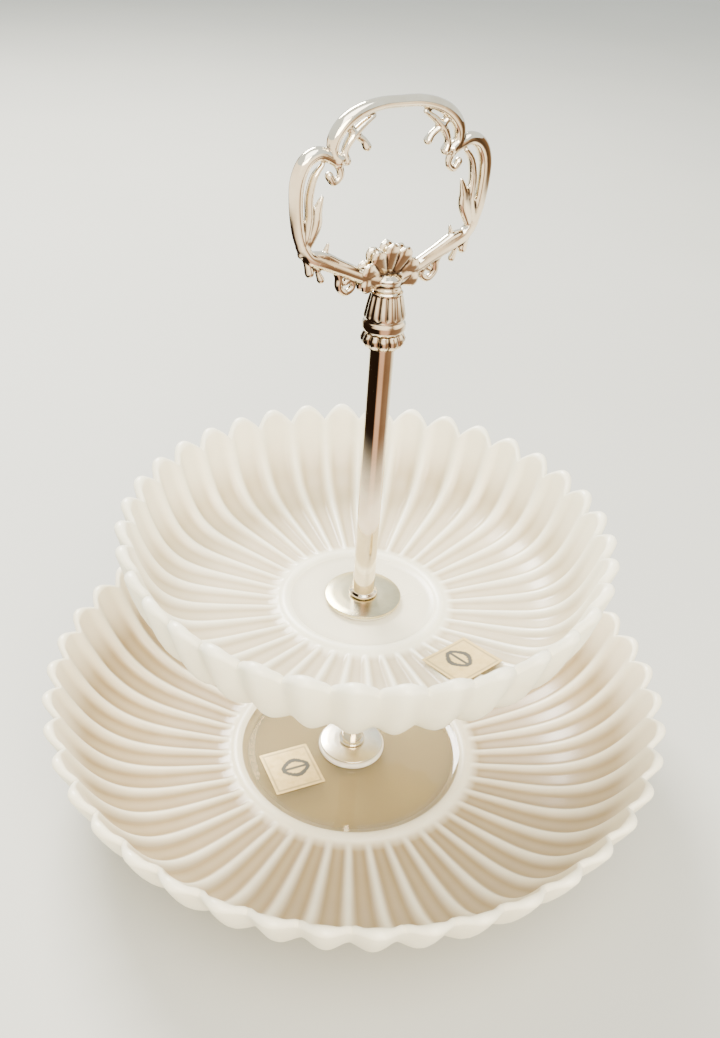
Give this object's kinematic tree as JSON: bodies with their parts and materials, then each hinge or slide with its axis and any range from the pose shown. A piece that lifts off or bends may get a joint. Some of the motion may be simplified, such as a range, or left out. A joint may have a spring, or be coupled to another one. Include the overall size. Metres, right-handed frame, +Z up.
{
  "type": "tiered serving stand",
  "caption": "Tiered serving stand: fluted, scallop-rimmed frosted glass plates clamped between washers on a central tube rod, with a cast scroll loop handle on top.",
  "frame": {"origin": "on the rod's axis, at the level of the lower plate's foot", "axes": "+Z up along the rod; the scroll handle lies in the XZ plane"},
  "size_m": [0.328, 0.328, 0.3616],
  "materials": {
    "frosted_glass": "satin acid-frosted pressed glass with a clear, polished well",
    "silver_plate": "bright silver plating",
    "plain_steel": "zinc-plated steel",
    "cream_rubber": "soft cream vinyl",
    "pale_foil": "pale gold foil paper"
  },
  "bodies": {
    "lower_plate": {"lower_plate": "frosted_glass", "lower_label": "pale_foil"},
    "post": {"lower_bottom_pad": "cream_rubber", "lower_bottom_washer": "plain_steel", "bottom_screw": "plain_steel", "lower_top_pad": "cream_rubber", "lower_top_washer": "silver_plate", "lower_rod": "silver_plate", "upper_bottom_washer": "silver_plate", "upper_bottom_pad": "cream_rubber", "middle_stud": "plain_steel"},
    "upper_plate": {"upper_plate": "frosted_glass", "upper_label": "pale_foil"},
    "upper_clamp": {"upper_top_pad": "cream_rubber", "upper_top_washer": "silver_plate"},
    "upper_rod": {"upper_rod": "silver_plate"},
    "handle_stud": {"handle_stud": "plain_steel"},
    "handle": {"leaf_ring": "silver_plate", "bell_collar": "silver_plate", "scroll_handle": "silver_plate"}
  },
  "joints": [
    {"name": "post_turn", "type": "hinge", "parent": "lower_plate", "child": "post", "pos_m": [0, 0, 0], "axis": [0, 0, 1], "continuous": true},
    {"name": "upper_plate_turn", "type": "hinge", "parent": "post", "child": "upper_plate", "pos_m": [0, 0, 0.11], "axis": [0, 0, 1], "continuous": true},
    {"name": "upper_rod_lift", "type": "slide", "parent": "post", "child": "upper_clamp", "axis": [0, 0, 1], "range_m": [0, 0.012]},
    {"name": "upper_rod_turn", "type": "hinge", "parent": "upper_clamp", "child": "upper_rod", "pos_m": [0, 0, 0.12], "axis": [0, 0, 1], "range_deg": [0, 3870]},
    {"name": "handle_lift", "type": "slide", "parent": "upper_rod", "child": "handle_stud", "axis": [0, 0, 1], "range_m": [0, 0.012]},
    {"name": "handle_turn", "type": "hinge", "parent": "handle_stud", "child": "handle", "pos_m": [0, 0, 0.26], "axis": [0, 0, 1], "range_deg": [0, 2970]}
  ]
}
